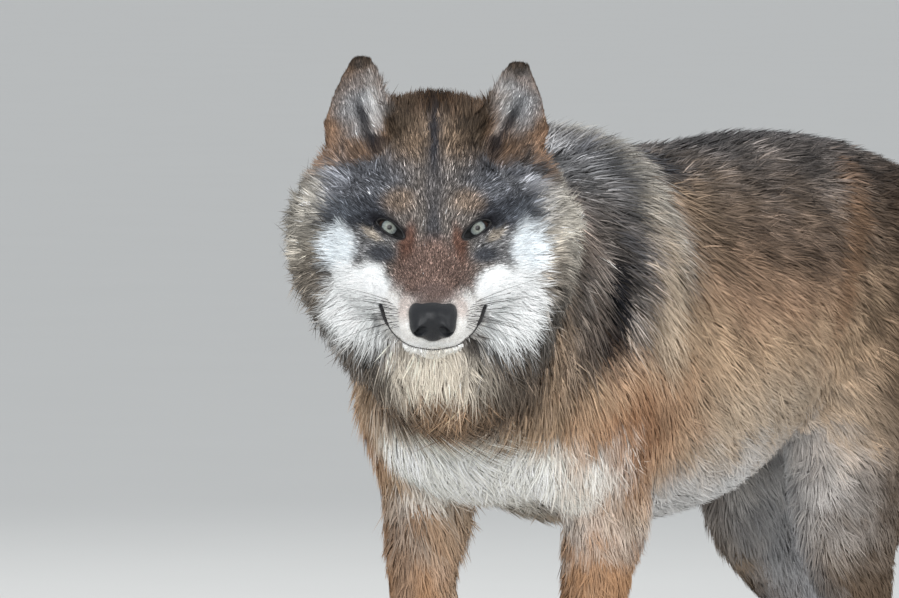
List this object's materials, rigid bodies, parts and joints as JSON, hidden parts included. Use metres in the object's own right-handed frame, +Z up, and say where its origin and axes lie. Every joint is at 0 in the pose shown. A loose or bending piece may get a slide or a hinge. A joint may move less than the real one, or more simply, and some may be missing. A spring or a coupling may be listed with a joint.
{
  "type": "grey wolf",
  "caption": "Life-size still model of a grey wolf in winter coat, standing on all fours, head turned to its left and looking ahead, tail hanging.",
  "frame": {"origin": "on the floor under the middle of the bounding box", "axes": "+Z up; the wolf's body lies along Y with the chest towards -Y; its left side is +X"},
  "size_m": [0.4036, 1.3252, 0.8806],
  "materials": {
    "coat_body": "long banded winter fur, grey-black over the back, tan on the flanks, cream below",
    "coat_head": "short grizzled fur on brow and muzzle, white cheeks, long pale ruff",
    "coat_legs": "short close tan fur, paler on the inner sides",
    "nose_leather": "moist black pebbled skin",
    "eye": "wet clear dome over a pale yellow-green iris with a round black pupil",
    "claw": "dark blunt horn"
  },
  "bodies": {
    "root": {"head": "coat_head", "ear_left": "coat_head", "ear_right": "coat_head", "neck": "coat_body", "trunk": "coat_body", "tail": "coat_body", "foreleg_left_forearm": "coat_legs", "foreleg_left_pastern": "coat_legs", "foreleg_left_paw": "coat_legs", "foreleg_right_forearm": "coat_legs", "foreleg_right_pastern": "coat_legs", "foreleg_right_paw": "coat_legs", "hindleg_left_thigh": "coat_legs", "hindleg_left_shank": "coat_legs", "hindleg_left_pastern": "coat_legs", "hindleg_left_paw": "coat_legs", "hindleg_right_thigh": "coat_legs", "hindleg_right_shank": "coat_legs", "hindleg_right_pastern": "coat_legs", "hindleg_right_paw": "coat_legs", "nose": "nose_leather", "eye_left": "eye", "eye_right": "eye", "claw_fore_left_1": "claw", "claw_fore_left_2": "claw", "claw_fore_left_3": "claw", "claw_fore_left_4": "claw", "claw_fore_right_1": "claw", "claw_fore_right_2": "claw", "claw_fore_right_3": "claw", "claw_fore_right_4": "claw", "claw_hind_left_1": "claw", "claw_hind_left_2": "claw", "claw_hind_left_3": "claw", "claw_hind_left_4": "claw", "claw_hind_right_1": "claw", "claw_hind_right_2": "claw", "claw_hind_right_3": "claw", "claw_hind_right_4": "claw"}
  },
  "joints": []
}
